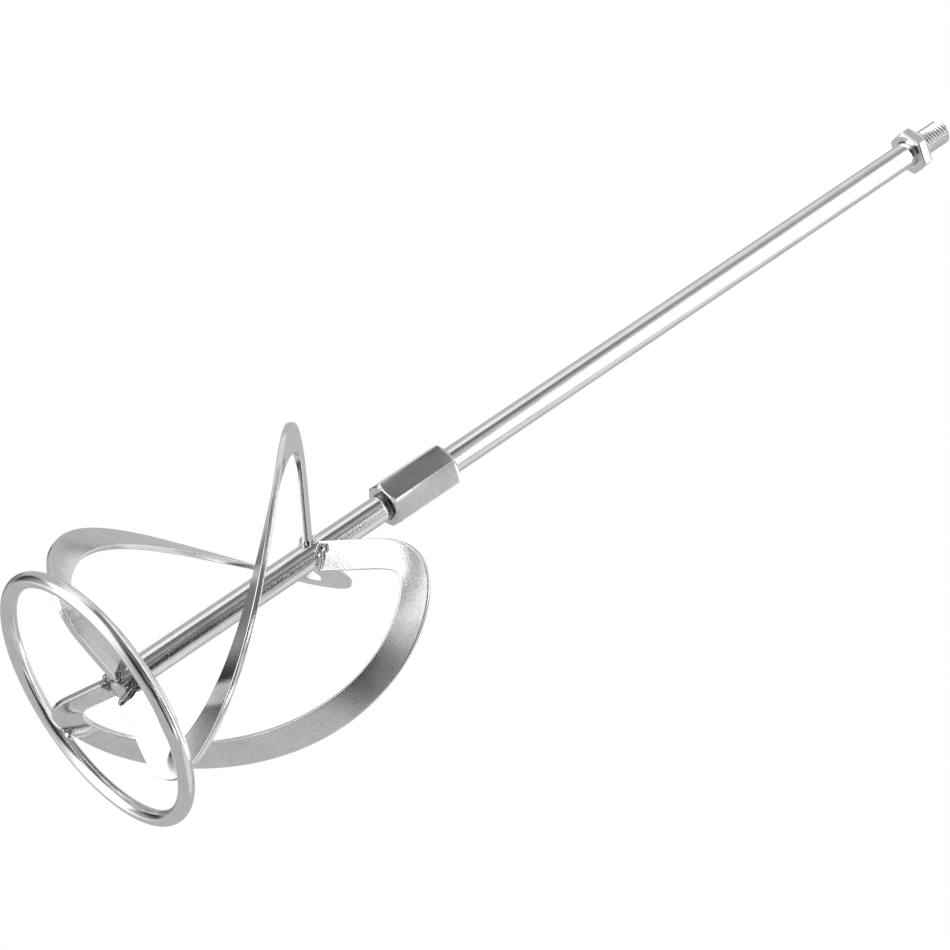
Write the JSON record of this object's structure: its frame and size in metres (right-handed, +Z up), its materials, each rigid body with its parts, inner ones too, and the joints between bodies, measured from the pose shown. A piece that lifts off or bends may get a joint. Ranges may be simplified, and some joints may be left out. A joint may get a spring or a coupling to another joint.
{
  "type": "mortar mixing paddle",
  "caption": "Mortar mixing paddle with helical strip blades on a foot ring, a coupled steel shaft and a threaded drive stud for a mixer.",
  "frame": {"origin": "middle of the foot ring's underside, on the shafts' axis", "axes": "+Z up the shafts to the stud's tip, the first blade's upper arm at -57 degrees from +X"},
  "size_m": [0.1533, 0.1508, 0.6],
  "materials": {
    "drawn_bar": "bright zinc plate, fine drawing lines",
    "nut_steel": "bright zinc plate",
    "strip_steel": "bright zinc plate over rolled strip",
    "ring_wire": "zinc plate, duller",
    "weld_metal": "zinc plated weld beads"
  },
  "bodies": {
    "paddle_head": {"lower_shaft": "drawn_bar", "bottom_ring": "ring_wire", "blade_1": "strip_steel", "blade_2": "strip_steel", "blade_3": "strip_steel", "upper_root_weld_1": "weld_metal", "upper_root_weld_2": "weld_metal", "upper_root_weld_3": "weld_metal", "lower_root_weld_1": "weld_metal", "lower_root_weld_2": "weld_metal", "lower_root_weld_3": "weld_metal", "ring_weld_1": "weld_metal", "ring_weld_2": "weld_metal", "ring_weld_3": "weld_metal"},
    "coupling": {"coupling_nut": "nut_steel"},
    "shaft": {"drive_shaft": "drawn_bar"},
    "locknut": {"jam_nut": "nut_steel"}
  },
  "joints": [
    {"name": "coupling_turn", "type": "hinge", "parent": "paddle_head", "child": "coupling", "pos_m": [0, 0, 0.208], "axis": [0, 0, 1], "range_deg": [0, 3240]},
    {"name": "shaft_rise", "type": "slide", "parent": "coupling", "child": "shaft", "axis": [0, 0, 1], "range_m": [0, 0.018]},
    {"name": "jam_nut_turn", "type": "hinge", "parent": "shaft", "child": "locknut", "pos_m": [0, 0, 0.5755], "axis": [0, 0, 1], "continuous": true}
  ],
  "couplings": [
    {"joint": "coupling_turn", "follows": "shaft_rise", "rad_per_m": 3141.6}
  ]
}
